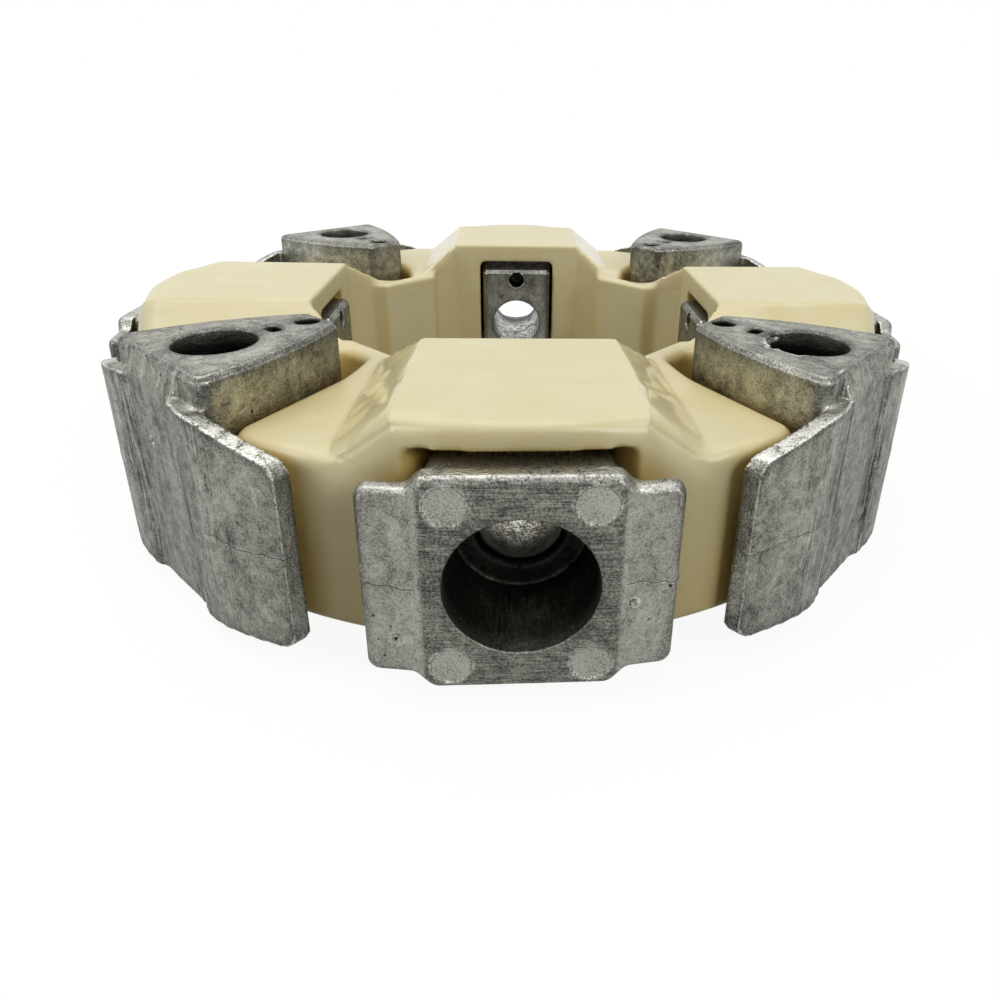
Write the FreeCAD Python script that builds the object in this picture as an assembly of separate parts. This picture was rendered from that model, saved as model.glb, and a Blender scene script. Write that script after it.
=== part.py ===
import FreeCAD, Part
import math
import os

# Engine coupling: one moulded flexible ring, four claws bolted on from the side that pass
# through windows in the ring's lobes, and four claws bolted on along the axis that fill
# the pockets between the lobes.
# Millimetres. +Z is the axis of the coupling, z = 0 is the underside of the axial claws.
# A station frame has x along the station's radius, y to its side and z up.
# Names ending in _X and _R are distances from the axis, names ending in _Z are levels.

# Whole coupling
HEIGHT = 52.5                    # underside to top of the axial claws
MID_Z = 24.25                    # level of the side bolts
BOLT_CIRCLE_R = 82.5             # axial bolts
BOLT_HOLE_R = 7.75
SEAT_GAP = 0.3                   # claw to ring where a claw seats
RADIAL_STATIONS = {"right": 0.0, "back": 90.0, "left": 180.0, "front": 270.0}
AXIAL_STATIONS = {"back_right": 45.0, "back_left": 135.0, "front_left": 225.0, "front_right": 315.0}

# Axial claw: body
BODY_INNER_REACH = 23.5          # bolt to the body's inner end
BODY_OUTER_REACH = 12.0          # bolt to the body's outer face
BODY_INNER_X = BOLT_CIRCLE_R - BODY_INNER_REACH
BODY_OUTER_X = BOLT_CIRCLE_R + BODY_OUTER_REACH
FLANK_R = 85.0                   # convex flanks
FLANK_CONTACT_REACH = 2.5        # bolt to where a flank touches its pocket, inwards
FLANK_CONTACT_X = BOLT_CIRCLE_R - FLANK_CONTACT_REACH
FLANK_CONTACT_HALF = 15.2
FLANK_CONTACT_DEG = 16.95
BODY_END_R = 2.5
BODY_CORNER_R = 2.6
BODY_BEVEL = 1.0
PIN_HOLE_R = 2.5
PIN_HOLE_DEPTH = 6.0
PIN_REACH = 19.5                 # bolt to the pin hole, inwards
SLOT_REACH = 11.9                # bolt to the small slot, inwards
SLOT_HALF_LENGTH = 2.25
SLOT_HALF_WIDTH = 1.25
SLOT_DEPTH = 10.0

# Flexible ring
RIM_REACH = 11.0                 # bolt circle to the ring's rim
RING_R = BOLT_CIRCLE_R + RIM_REACH
POCKET_END_ROOM = 7.2            # between a claw's inner end and the end of its pocket
POCKET_WALL = 5.0                # ring left between a pad and the end of its pocket
PAD_REACH = 3.2                  # how far a pad stands inwards of the opening's flat
POCKET_END_X = BODY_INNER_X - POCKET_END_ROOM
PAD_X = POCKET_END_X - POCKET_WALL
OPENING_APOTHEM = PAD_X + PAD_REACH      # centre to the flats of the eight-sided opening
PAD_HALF = 9.05
PAD_FLANK = 3.55                 # sideways run of the pad's side
PAD_EDGE_R = 1.2
PAD_ROOT = 1.0                   # how far a pad's block runs into the ring
POCKET_END_HALF = 3.6
POCKET_END_R = 2.5
POCKET_BEND = 3.0                # claw's inner end to where its pocket bends inwards
POCKET_BEND_R = 30.0
POCKET_MOUTH_R = 5.0
LOBE_TOP_HALF = 20.1
LOBE_TOP_RUN = 10.5              # sideways run of a lobe's upper slope
LOBE_TOP_STEP = 8.2              # top of an arm up to the top of a lobe
LOBE_BOTTOM_HALF = 15.0
LOBE_BOTTOM_RUN = 10.0
LOBE_BOTTOM_STEP = 6.9           # underside of a lobe up to the underside of an arm
LOBE_SPLAY_DEG = 1.8             # a lobe widens outwards by this angle on each side
LOBE_CREST_R = 2.8
LOBE_VALLEY_R = 1.2
RIM_TOP_R = 2.3
RIM_BOTTOM_BEVEL = 2.4

# Plates of both kinds of claw
PLATE_AIR = 2.3                  # rim to the inside of a plate
PLATE_THICK = 3.0
PLATE_R = RING_R + PLATE_AIR + PLATE_THICK

# Radial claw
BLOCK_STAND_IN = 2.2             # how far the block stands inwards of the opening's flat
BLOCK_INNER_X = OPENING_APOTHEM - BLOCK_STAND_IN
BLOCK_IN_PLATE = 0.2             # how far the block runs into the plate
BLOCK_OUTER_X = PLATE_R - PLATE_THICK + BLOCK_IN_PLATE
BLOCK_INNER_HALF = 11.1
BLOCK_OUTER_HALF = 15.5
BLOCK_INNER_HALF_H = 18.25
BLOCK_OUTER_HALF_H = 20.25
BLOCK_BEVEL = 1.1
FRONT_BORDER = 0.1               # flat front beyond the block, each side
FRONT_HALF = BLOCK_OUTER_HALF + FRONT_BORDER
FRONT_FOOT_TAPER = 1.0           # how much narrower it is at the lower edge, each side
WING_ROOT_RUN = 2.4              # flat front to the wing, sideways
WING_ROOT_HALF = FRONT_HALF + WING_ROOT_RUN
WING_TIP_HALF = 26.0
WING_DROP = 2.55                 # block's top to the wing's top
WING_HALF_H = BLOCK_OUTER_HALF_H - WING_DROP
WING_SET_BACK = 0.9              # step from the flat front to the wing
WING_BEND = 1.1                  # further set back of the wing's tip
WING_BEND_R = 1.5
WING_CORNER_R = 2.2
FRONT_BEVEL = 0.9
COUNTERBORE_R = 12.8
COUNTERBORE_DEPTH = 18.3
HOLE_MOUTH_R = 8.9
HOLE_MOUTH_DEPTH = 1.2
BLOCK_PIN_DROP = 3.3             # block's top edge to the centre of its pin hole

# Window through a lobe
WINDOW_SIDE_GAP = 0.9
WINDOW_TOP_GAP = 0.5             # above the block's tallest end
WINDOW_TOP_RISE = 0.9
WINDOW_TOP_Z = MID_Z + BLOCK_OUTER_HALF_H + WINDOW_TOP_GAP
WINDOW_FLARE_RUN = 13.5          # rim to where the flare starts
WINDOW_FLARE = 4.4               # extra half width that the flare reaches at the rim
WINDOW_CORNER_R = 2.0
LOBE_ROOF = 4.8                  # ring above a window's mouth
LOBE_FLOOR = 3.1                 # ring below it
LOBE_TOP_Z = WINDOW_TOP_Z + WINDOW_TOP_RISE + LOBE_ROOF
LOBE_BOTTOM_Z = MID_Z - BLOCK_OUTER_HALF_H - SEAT_GAP - LOBE_FLOOR
ARM_TOP_Z = LOBE_TOP_Z - LOBE_TOP_STEP
ARM_BOTTOM_Z = LOBE_BOTTOM_Z + LOBE_BOTTOM_STEP

# Axial claw: plate
PLATE_WING_DEG = 21.4            # half angle that the plate covers
RECESS_HALF = 8.5                # shallow recess in the middle of the plate
RECESS_DEPTH = 2.8
NOSE_HALF = 10.4
NOSE_DEPTH = 1.9
BAND_START_HALF = 19.5           # where the plate joins its outermost radius
NOSE_R = 1.2
SWELL_RISE = 0.35                # how far the plate swells between the nose and its full radius
SWELL_R = 12.0
PLATE_ROOT_HALF = 17.6           # where the plate is one with the body
PLATE_TOP_DROP = 5.3             # body's top down to the plate's top
PLATE_TOP_Z = HEIGHT - PLATE_TOP_DROP
PLATE_TIP_DROP = 5.2             # plate's top in the middle down to its tips
PLATE_FOOT_Z = 3.4
PLATE_TIP_LIFT = 2.2             # plate's foot in the middle up to its tips
PLATE_CROWN_DROP = 0.6
PLATE_CORNER_R = 3.6
PLATE_CROWN_R = 20.0

UP = FreeCAD.Vector(0, 0, 1)
ALONG = FreeCAD.Vector(1, 0, 0)
ORIGIN = FreeCAD.Vector(0, 0, 0)
CUT_MARGIN = 20.0                # how far cutting shapes run past what they cut
HOLE_MARGIN = 1.0                # how far cutting shapes of holes do


def plan(u, v):
    """Point of a plan outline: u along the station, v to its side."""
    return FreeCAD.Vector(u, v, 0)


def side(u, v):
    """Point of a side outline: u along the station, v up."""
    return FreeCAD.Vector(u, 0, v)


def front(u, v):
    """Point of a front outline: u to the side, v up."""
    return FreeCAD.Vector(0, u, v)


def rounded_corner(before, here, after, radius):
    """Start, middle and end of the arc that rounds a corner, or the corner alone."""
    to_before = before.sub(here)
    to_after = after.sub(here)
    half = to_before.getAngle(to_after) / 2
    reach = 0.48 * min(to_before.Length, to_after.Length)
    radius = min(radius, reach * math.tan(half))
    if radius < 1e-6:
        return [here]
    to_before.normalize()
    to_after.normalize()
    bisector = to_before.add(to_after)
    bisector.normalize()
    tangent = radius / math.tan(half)
    middle = here.add(bisector.multiply(radius / math.sin(half) - radius))
    return [here.add(to_before.multiply(tangent)), middle, here.add(to_after.multiply(tangent))]


def outline(lift, corners):
    """Closed face from corners (u, v) or (u, v, radius)."""
    points = [lift(c[0], c[1]) for c in corners]
    radii = [c[2] if len(c) > 2 else 0.0 for c in corners]
    count = len(points)
    arcs = [rounded_corner(points[i - 1], points[i], points[(i + 1) % count], radii[i])
            for i in range(count)]
    edges = []
    for i, arc in enumerate(arcs):
        if len(arc) == 3:
            edges.append(Part.Arc(*arc).toShape())
        edges.append(Part.makeLine(arc[-1], arcs[(i + 1) % count][0]))
    return Part.Face(Part.Wire(edges))


def mirrored(corners):
    """Full set of corners from the half at positive side distance, u is the side."""
    return corners + [(-c[0],) + tuple(c[1:]) for c in reversed(corners)]


def mirrored_plan(corners):
    """Full set of plan corners from the half at positive v."""
    return corners + [(c[0], -c[1]) + tuple(c[2:]) for c in reversed(corners)]


def turned(shape, degrees):
    """Copy of a shape turned about the coupling's axis."""
    copy = shape.copy()
    copy.rotate(ORIGIN, UP, degrees)
    return copy


def edges_where(shape, test):
    """Edges whose ends and middle all pass a test."""
    found = []
    for edge in shape.Edges:
        first, last = edge.ParameterRange
        spots = [edge.valueAt(first + (last - first) * k / 4.0) for k in range(5)]
        if all(test(p) for p in spots):
            found.append(edge)
    return found


def upright(edge):
    """True for an edge that runs straight up."""
    box = edge.BoundBox
    return box.XLength < 1e-4 and box.YLength < 1e-4


# Ring

def on_diagonal(x, y):
    """Plan point given in the frame of the station 45 degrees on."""
    turn = math.radians(45.0)
    return (x * math.cos(turn) - y * math.sin(turn), x * math.sin(turn) + y * math.cos(turn))


def pocket_half(x):
    """Half width of a pocket at x, clear of the axial claw's flank by the seat gap."""
    lean = math.radians(FLANK_CONTACT_DEG)
    clear = SEAT_GAP / math.cos(lean)
    return FLANK_CONTACT_HALF + clear + (x - FLANK_CONTACT_X) * math.tan(lean)


def shoulder_cutter(lobe_z, lobe_half, run, arm_z, crest_r, valley_r, away):
    """Solid that leaves half a lobe and half an arm on its upper or lower side."""
    level = lobe_z + away * CUT_MARGIN
    foot = lobe_half + run
    face = outline(front, [(-CUT_MARGIN, level), (-CUT_MARGIN, lobe_z),
                           (lobe_half, lobe_z, crest_r), (foot, arm_z, valley_r),
                           (RING_R, arm_z), (RING_R, level)])
    solid = face.extrude(FreeCAD.Vector(RING_R + 2 * CUT_MARGIN, 0, 0))
    solid.rotate(FreeCAD.Vector(OPENING_APOTHEM, lobe_half, 0), UP, LOBE_SPLAY_DEG)
    return solid


def ring_plan():
    """Plan corners of an eighth of the ring, from a lobe's middle to a pocket's, without a pad."""
    far_x = RING_R + CUT_MARGIN
    bend_x = BODY_INNER_X + POCKET_BEND
    corner = OPENING_APOTHEM * math.tan(math.radians(22.5))
    return [
        (OPENING_APOTHEM, 0.0),
        (OPENING_APOTHEM, corner, PAD_EDGE_R),
        on_diagonal(OPENING_APOTHEM, 0.0),
        on_diagonal(POCKET_END_X, 0.0),
        on_diagonal(POCKET_END_X, -POCKET_END_HALF) + (POCKET_END_R,),
        on_diagonal(bend_x, -pocket_half(bend_x)) + (POCKET_BEND_R,),
        on_diagonal(far_x, -pocket_half(far_x)),
        (far_x, 0.0),
    ]


def pad_half():
    """Half of the block on the inside of an arm, level with the arm above and below."""
    root_x = OPENING_APOTHEM + PAD_ROOT
    side_y = -PAD_HALF - PAD_FLANK
    face = outline(plan, [on_diagonal(PAD_X, 0.0), on_diagonal(root_x, 0.0),
                          on_diagonal(root_x, side_y), on_diagonal(OPENING_APOTHEM, side_y),
                          on_diagonal(PAD_X, -PAD_HALF) + (PAD_EDGE_R,)])
    solid = face.extrude(FreeCAD.Vector(0, 0, ARM_TOP_Z - ARM_BOTTOM_Z))
    solid.translate(FreeCAD.Vector(0, 0, ARM_BOTTOM_Z))
    return solid


def on_rim(point):
    """True for a point of the ring's outermost surface."""
    return abs(math.hypot(point.x, point.y) - RING_R) < 1e-3


def ring_eighth():
    """Half a lobe and half an arm, from the middle of a window to the middle of a pocket."""
    tall = LOBE_TOP_Z - LOBE_BOTTOM_Z + CUT_MARGIN
    foot = LOBE_BOTTOM_Z - CUT_MARGIN / 2
    blank = outline(plan, ring_plan()).extrude(FreeCAD.Vector(0, 0, tall))
    blank.translate(FreeCAD.Vector(0, 0, foot))
    solid = blank.common(Part.makeCylinder(RING_R, tall, FreeCAD.Vector(0, 0, foot)))
    mouth = [e for e in edges_where(solid, on_rim) if upright(e) and e.Vertexes[0].Point.y > BOLT_HOLE_R]
    solid = solid.makeFillet(POCKET_MOUTH_R, mouth)
    solid = solid.cut(shoulder_cutter(LOBE_TOP_Z, LOBE_TOP_HALF, LOBE_TOP_RUN, ARM_TOP_Z,
                                      LOBE_CREST_R, LOBE_VALLEY_R, 1))
    solid = solid.cut(shoulder_cutter(LOBE_BOTTOM_Z, LOBE_BOTTOM_HALF, LOBE_BOTTOM_RUN,
                                      ARM_BOTTOM_Z, 0.0, 0.0, -1))
    solid = solid.fuse(pad_half()).removeSplitter()
    upper = [e for e in edges_where(solid, on_rim) if not upright(e) and e.BoundBox.ZMin > MID_Z]
    solid = solid.makeFillet(RIM_TOP_R, upper)
    lower = [e for e in edges_where(solid, on_rim) if not upright(e) and e.BoundBox.ZMax < MID_Z]
    return solid.makeChamfer(RIM_BOTTOM_BEVEL, lower)


def block_half(x):
    """Half width of a radial claw's block at x."""
    grow = (BLOCK_OUTER_HALF - BLOCK_INNER_HALF) / (BLOCK_OUTER_X - BLOCK_INNER_X)
    return BLOCK_INNER_HALF + grow * (x - BLOCK_INNER_X)


def block_half_height(x):
    """Half height of a radial claw's block at x."""
    grow = (BLOCK_OUTER_HALF_H - BLOCK_INNER_HALF_H) / (BLOCK_OUTER_X - BLOCK_INNER_X)
    return BLOCK_INNER_HALF_H + grow * (x - BLOCK_INNER_X)


def window():
    """Opening through a lobe, clear of the radial claw's block on every side."""
    inner_x = OPENING_APOTHEM - CUT_MARGIN / 2
    outer_x = RING_R + CUT_MARGIN / 2
    bend_x = RING_R - WINDOW_FLARE_RUN / 2
    slope = 2 * WINDOW_FLARE / WINDOW_FLARE_RUN
    flare_r = WINDOW_FLARE_RUN ** 2 / (2 * WINDOW_FLARE)
    face = outline(plan, mirrored_plan([
        (inner_x, block_half(inner_x) + WINDOW_SIDE_GAP),
        (bend_x, block_half(bend_x) + WINDOW_SIDE_GAP, flare_r),
        (outer_x, block_half(outer_x) + WINDOW_SIDE_GAP + slope * (outer_x - bend_x)),
    ]))
    tall = face.extrude(FreeCAD.Vector(0, 0, HEIGHT + CUT_MARGIN))
    rise = WINDOW_TOP_RISE / (RING_R - OPENING_APOTHEM)
    low = [MID_Z - block_half_height(x) - SEAT_GAP for x in (inner_x, outer_x)]
    high = [WINDOW_TOP_Z + rise * (x - OPENING_APOTHEM) for x in (inner_x, outer_x)]
    section = outline(side, [(inner_x, low[0]), (inner_x, high[0]), (outer_x, high[1]),
                             (outer_x, low[1])])
    slab = section.extrude(FreeCAD.Vector(0, 2 * RING_R, 0))
    slab.translate(FreeCAD.Vector(0, -RING_R, 0))
    solid = tall.common(slab)
    long_edges = [e for e in solid.Edges if e.BoundBox.XLength > WINDOW_CORNER_R
                  and e.BoundBox.ZLength < HEIGHT / 4]
    return solid.makeFillet(WINDOW_CORNER_R, long_edges)


def flexible_ring():
    """Whole ring with its windows and pockets."""
    half = ring_eighth()
    lobe = half.fuse(half.mirror(ORIGIN, FreeCAD.Vector(0, 1, 0)))
    lobes = [turned(lobe, angle) for angle in RADIAL_STATIONS.values()]
    solid = lobes[0].multiFuse(lobes[1:]).removeSplitter()
    opening = window()
    return solid.cut([turned(opening, angle) for angle in RADIAL_STATIONS.values()])


# Radial claw

def radial_block():
    """Tapered block that passes through a lobe's window."""
    block = Part.makeWedge(-BLOCK_INNER_HALF, BLOCK_INNER_X, MID_Z - BLOCK_INNER_HALF_H,
                           MID_Z - BLOCK_OUTER_HALF_H, -BLOCK_OUTER_HALF,
                           BLOCK_INNER_HALF, BLOCK_OUTER_X, MID_Z + BLOCK_INNER_HALF_H,
                           MID_Z + BLOCK_OUTER_HALF_H, BLOCK_OUTER_HALF)
    block.rotate(ORIGIN, UP, -90.0)
    bevelled = [e for e in block.Edges if e.BoundBox.XMin < BLOCK_OUTER_X - BLOCK_BEVEL]
    return block.makeChamfer(BLOCK_BEVEL, bevelled)


def radial_plate():
    """Plate outside the ring: a flat front with a thinner wing on each side."""
    wing_x = PLATE_R - WING_SET_BACK
    tip_x = wing_x - WING_BEND
    inside_x = PLATE_R - PLATE_THICK - WING_SET_BACK
    band = outline(plan, mirrored_plan([
        (PLATE_R, FRONT_HALF, WING_BEND_R),
        (wing_x, WING_ROOT_HALF, WING_BEND_R),
        (tip_x, WING_TIP_HALF),
        (tip_x - PLATE_THICK, WING_TIP_HALF),
        (inside_x, FRONT_HALF, WING_BEND_R),
    ])).extrude(FreeCAD.Vector(0, 0, HEIGHT))
    top = [(FRONT_HALF, MID_Z + BLOCK_OUTER_HALF_H, WING_CORNER_R),
           (WING_ROOT_HALF, MID_Z + WING_HALF_H, WING_CORNER_R),
           (WING_TIP_HALF, MID_Z + WING_HALF_H, WING_CORNER_R)]
    foot = [(WING_TIP_HALF, MID_Z - WING_HALF_H, WING_CORNER_R),
            (WING_ROOT_HALF, MID_Z - WING_HALF_H, WING_CORNER_R),
            (FRONT_HALF - FRONT_FOOT_TAPER, MID_Z - BLOCK_OUTER_HALF_H, WING_CORNER_R)]
    shape = outline(front, mirrored(top + foot)).extrude(FreeCAD.Vector(PLATE_R + CUT_MARGIN, 0, 0))
    plate = band.common(shape)
    brow = [e for e in edges_where(plate, lambda p: abs(p.x - PLATE_R) < 1e-3)
            if e.BoundBox.ZMin > MID_Z + WING_HALF_H]
    return plate.makeChamfer(FRONT_BEVEL, brow)


def side_bore(start_r, end_r, start_x, end_x):
    """Cutting cone or cylinder along the station at the level of the side bolts."""
    place = FreeCAD.Vector(start_x, 0, MID_Z)
    if start_r == end_r:
        return Part.makeCylinder(start_r, end_x - start_x, place, ALONG)
    return Part.makeCone(start_r, end_r, end_x - start_x, place, ALONG)


def radial_claw():
    """Claw bolted on from the side."""
    claw = radial_block().fuse(radial_plate()).removeSplitter()
    floor_x = PLATE_R - COUNTERBORE_DEPTH
    claw = claw.cut(side_bore(COUNTERBORE_R, COUNTERBORE_R, floor_x, PLATE_R + HOLE_MARGIN))
    claw = claw.cut(side_bore(BOLT_HOLE_R, HOLE_MOUTH_R, floor_x - HOLE_MOUTH_DEPTH, floor_x))
    claw = claw.cut(side_bore(BOLT_HOLE_R, BOLT_HOLE_R, BLOCK_INNER_X - HOLE_MARGIN, floor_x))
    pin_place = FreeCAD.Vector(BLOCK_INNER_X, 0, MID_Z + BLOCK_INNER_HALF_H - BLOCK_PIN_DROP)
    return claw.cut(Part.makeCylinder(PIN_HOLE_R, PIN_HOLE_DEPTH, pin_place, ALONG))


# Axial claw

def axial_body():
    """Wedge that fills a pocket, with convex flanks and a blunt inner end."""
    lean = math.radians(FLANK_CONTACT_DEG)
    centre_x = FLANK_CONTACT_X + FLANK_R * math.sin(lean)
    centre_y = FLANK_R * math.cos(lean) - FLANK_CONTACT_HALF
    solid = Part.makeCylinder(FLANK_R, HEIGHT, FreeCAD.Vector(centre_x, -centre_y, 0))
    solid = solid.common(Part.makeCylinder(FLANK_R, HEIGHT, FreeCAD.Vector(centre_x, centre_y, 0)))
    slab = Part.makeBox(BODY_OUTER_X - BODY_INNER_X, 2 * RING_R, HEIGHT,
                        FreeCAD.Vector(BODY_INNER_X, -RING_R, 0))
    solid = solid.common(slab)
    inner = [e for e in solid.Edges if upright(e) and e.BoundBox.XMin < BOLT_CIRCLE_R]
    solid = solid.makeFillet(BODY_END_R, inner)
    outer = [e for e in solid.Edges if upright(e) and e.BoundBox.XMin > BODY_OUTER_X - 1e-3]
    solid = solid.makeFillet(BODY_CORNER_R, outer)
    ends = [e for e in solid.Edges if e.BoundBox.ZLength < 1e-4]
    return solid.makeChamfer(BODY_BEVEL, ends)


def recess_cutter():
    """Solid that takes the shallow recess and its rounded sides out of a plate."""
    start_x = math.sqrt(PLATE_R ** 2 - BAND_START_HALF ** 2)
    swell_half = (NOSE_HALF + BAND_START_HALF) / 2
    return outline(plan, mirrored_plan([
        (PLATE_R - RECESS_DEPTH, RECESS_HALF),
        (PLATE_R - NOSE_DEPTH, NOSE_HALF, NOSE_R),
        (PLATE_R - NOSE_DEPTH + SWELL_RISE, swell_half, SWELL_R),
        (start_x, BAND_START_HALF),
        (PLATE_R + CUT_MARGIN, BAND_START_HALF),
    ])).extrude(FreeCAD.Vector(0, 0, HEIGHT))


def face_draft():
    """Slanted faces that carry the body's outer face into the plate's recess, above and below."""
    recess_x = PLATE_R - RECESS_DEPTH
    root_x = BODY_OUTER_X - BODY_CORNER_R
    section = outline(side, [(root_x, BODY_BEVEL), (BODY_OUTER_X, BODY_BEVEL),
                             (recess_x, PLATE_FOOT_Z), (recess_x, PLATE_TOP_Z),
                             (BODY_OUTER_X, HEIGHT - BODY_BEVEL), (root_x, HEIGHT - BODY_BEVEL)])
    solid = section.extrude(FreeCAD.Vector(0, 2 * NOSE_HALF, 0))
    solid.translate(FreeCAD.Vector(0, -NOSE_HALF, 0))
    return solid


def axial_plate():
    """Curved plate outside the ring, recessed in the middle and one with the body there."""
    tip_half = PLATE_R * math.sin(math.radians(PLATE_WING_DEG))
    root_x = BODY_OUTER_X - BODY_CORNER_R
    disc = Part.makeCylinder(PLATE_R, HEIGHT)
    shell = disc.cut(Part.makeCylinder(PLATE_R - PLATE_THICK, HEIGHT))
    root = Part.makeBox(PLATE_R - root_x, 2 * PLATE_ROOT_HALF, HEIGHT,
                        FreeCAD.Vector(root_x, -PLATE_ROOT_HALF, 0)).common(disc)
    shape = outline(front, mirrored([
        (BAND_START_HALF / 2, PLATE_TOP_Z),
        (BAND_START_HALF, PLATE_TOP_Z - PLATE_CROWN_DROP, PLATE_CROWN_R),
        (tip_half, PLATE_TOP_Z - PLATE_TIP_DROP, PLATE_CORNER_R),
        (tip_half, PLATE_FOOT_Z + PLATE_TIP_LIFT, PLATE_CORNER_R),
        (NOSE_HALF, PLATE_FOOT_Z),
    ])).extrude(FreeCAD.Vector(PLATE_R + CUT_MARGIN, 0, 0))
    return shell.fuse(root).common(shape).cut(recess_cutter())


def axial_claw():
    """Claw bolted on along the axis."""
    claw = axial_body().multiFuse([axial_plate(), face_draft()]).removeSplitter()
    bolt_foot = FreeCAD.Vector(BOLT_CIRCLE_R, 0, -HOLE_MARGIN)
    claw = claw.cut(Part.makeCylinder(BOLT_HOLE_R, HEIGHT + 2 * HOLE_MARGIN, bolt_foot))
    pin_foot = FreeCAD.Vector(BOLT_CIRCLE_R - PIN_REACH, 0, HEIGHT - PIN_HOLE_DEPTH)
    claw = claw.cut(Part.makeCylinder(PIN_HOLE_R, PIN_HOLE_DEPTH + HOLE_MARGIN, pin_foot))
    slot_foot = FreeCAD.Vector(BOLT_CIRCLE_R - SLOT_REACH - SLOT_HALF_WIDTH, -SLOT_HALF_LENGTH,
                               HEIGHT - SLOT_DEPTH)
    return claw.cut(Part.makeBox(2 * SLOT_HALF_WIDTH, 2 * SLOT_HALF_LENGTH,
                                 SLOT_DEPTH + HOLE_MARGIN, slot_foot))


def save(name, shape):
    """Write one piece as a file of its own."""
    shape.Solids[0].exportStep("parts/" + name + ".step")


os.makedirs("parts", exist_ok=True)
save("flexible_ring", flexible_ring())
side_claw = radial_claw()
for where, angle in RADIAL_STATIONS.items():
    save("radial_claw_" + where, turned(side_claw, angle))
end_claw = axial_claw()
for where, angle in AXIAL_STATIONS.items():
    save("axial_claw_" + where, turned(end_claw, angle))
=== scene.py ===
"""Looks of the engine coupling: a moulded elastic ring and eight die-cast claws.

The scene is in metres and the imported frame's axes. A station is one claw's place round the
axis; its own coordinates are radial, sideways and up, in millimetres.
"""

import logging
import math
from dataclasses import dataclass, field
from enum import Enum
from typing import Any, Callable, Dict, List, Optional, Sequence, Tuple

import bmesh
import bpy
import numpy as np
from mathutils import Matrix, Vector


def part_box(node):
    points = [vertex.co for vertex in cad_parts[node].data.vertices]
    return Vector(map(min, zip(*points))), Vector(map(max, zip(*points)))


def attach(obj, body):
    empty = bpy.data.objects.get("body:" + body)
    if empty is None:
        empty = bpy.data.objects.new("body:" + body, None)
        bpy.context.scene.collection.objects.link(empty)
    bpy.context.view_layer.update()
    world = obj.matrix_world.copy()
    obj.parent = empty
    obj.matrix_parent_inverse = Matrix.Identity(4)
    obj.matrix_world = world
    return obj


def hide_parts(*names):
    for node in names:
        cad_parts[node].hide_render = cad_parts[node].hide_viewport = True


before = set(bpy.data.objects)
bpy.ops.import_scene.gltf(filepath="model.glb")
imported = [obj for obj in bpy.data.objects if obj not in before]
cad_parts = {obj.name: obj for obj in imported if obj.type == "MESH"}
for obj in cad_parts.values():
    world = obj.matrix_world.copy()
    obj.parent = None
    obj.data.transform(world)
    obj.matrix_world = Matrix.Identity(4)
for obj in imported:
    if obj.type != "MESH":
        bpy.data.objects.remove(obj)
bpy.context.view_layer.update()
MM = 0.001
FAR = 99.0                      # a distance that stands for nowhere near
LOG = logging.getLogger("coupling")

# What a claw's mesh keeps at each corner for its material, with the value of plain skin
CAST_MARKS = {
    "cast_edge_wear_and_highlight": 0.0,
    "cast_rim": 0.0,
    "cast_shade": 0.0,
    "cast_sand_and_bend_highlight": 0.0,
    "cast_brush": 0.0,
    "cast_flow": 0.0,
    "cast_glint": 0.0,
    "cast_seam": FAR,
    "cast_disc": FAR,
}

# Numbers of the repeatable noise
CELL_FACTORS = (73856093, 19349663, 83492791)
SEED_FACTOR = 2654435761
MIX_FACTOR = 1274126177
LOW_31_BITS = 0x7FFFFFFF
LOW_20_BITS = 0xFFFFF
LAYERS_TO_UNIT = 1.6            # brings layered noise back to about -1..1

# Steps of seed that keep one claw's patterns apart
RIDGE_SEED = 5
FINE_RIDGE_SEED = 6
SKIN_SEED = 11
TORN_SEED = 40
HOLLOW_SEED = 60
CHIP_SEED = 77


class Station(Enum):
    """Places of the claws round the axis, with the azimuth of each in degrees."""

    RIGHT = 0.0
    BACK_RIGHT = 45.0
    BACK = 90.0
    BACK_LEFT = 135.0
    LEFT = 180.0
    FRONT_LEFT = 225.0
    FRONT = 270.0
    FRONT_RIGHT = 315.0

    @property
    def label(self) -> str:
        """Name of the place as the nodes spell it."""
        return self.name.lower()


RADIAL_STATIONS = (Station.RIGHT, Station.BACK, Station.LEFT, Station.FRONT)
AXIAL_STATIONS = (Station.BACK_RIGHT, Station.BACK_LEFT, Station.FRONT_LEFT, Station.FRONT_RIGHT)


# Small helpers


def linear(hex_colour: str) -> Tuple[float, float, float, float]:
    """Turn an sRGB hex colour into linear RGBA.

    Args:
        hex_colour: six hex digits after a hash.

    Returns:
        Linear red, green, blue and an alpha of 1.
    """
    digits = hex_colour.lstrip("#")
    parts = [int(digits[i:i + 2], 16) / 255.0 for i in (0, 2, 4)]
    flat = [c / 12.92 if c <= 0.04045 else ((c + 0.055) / 1.055) ** 2.4 for c in parts]
    return (flat[0], flat[1], flat[2], 1.0)


def lattice_value(cell: np.ndarray, seed: int) -> np.ndarray:
    """Repeatable value in 0..1 for each whole-number cell.

    Args:
        cell: whole numbers, shape (n, 3).
        seed: pattern number.

    Returns:
        One value per cell.
    """
    x, y, z = (cell * np.array(CELL_FACTORS)).T
    mixed = (x ^ y ^ z ^ (seed * SEED_FACTOR)) & LOW_31_BITS
    mixed = (mixed ^ (mixed >> 13)) * MIX_FACTOR & LOW_31_BITS
    return ((mixed ^ (mixed >> 16)) & LOW_20_BITS) / float(LOW_20_BITS)


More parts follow.
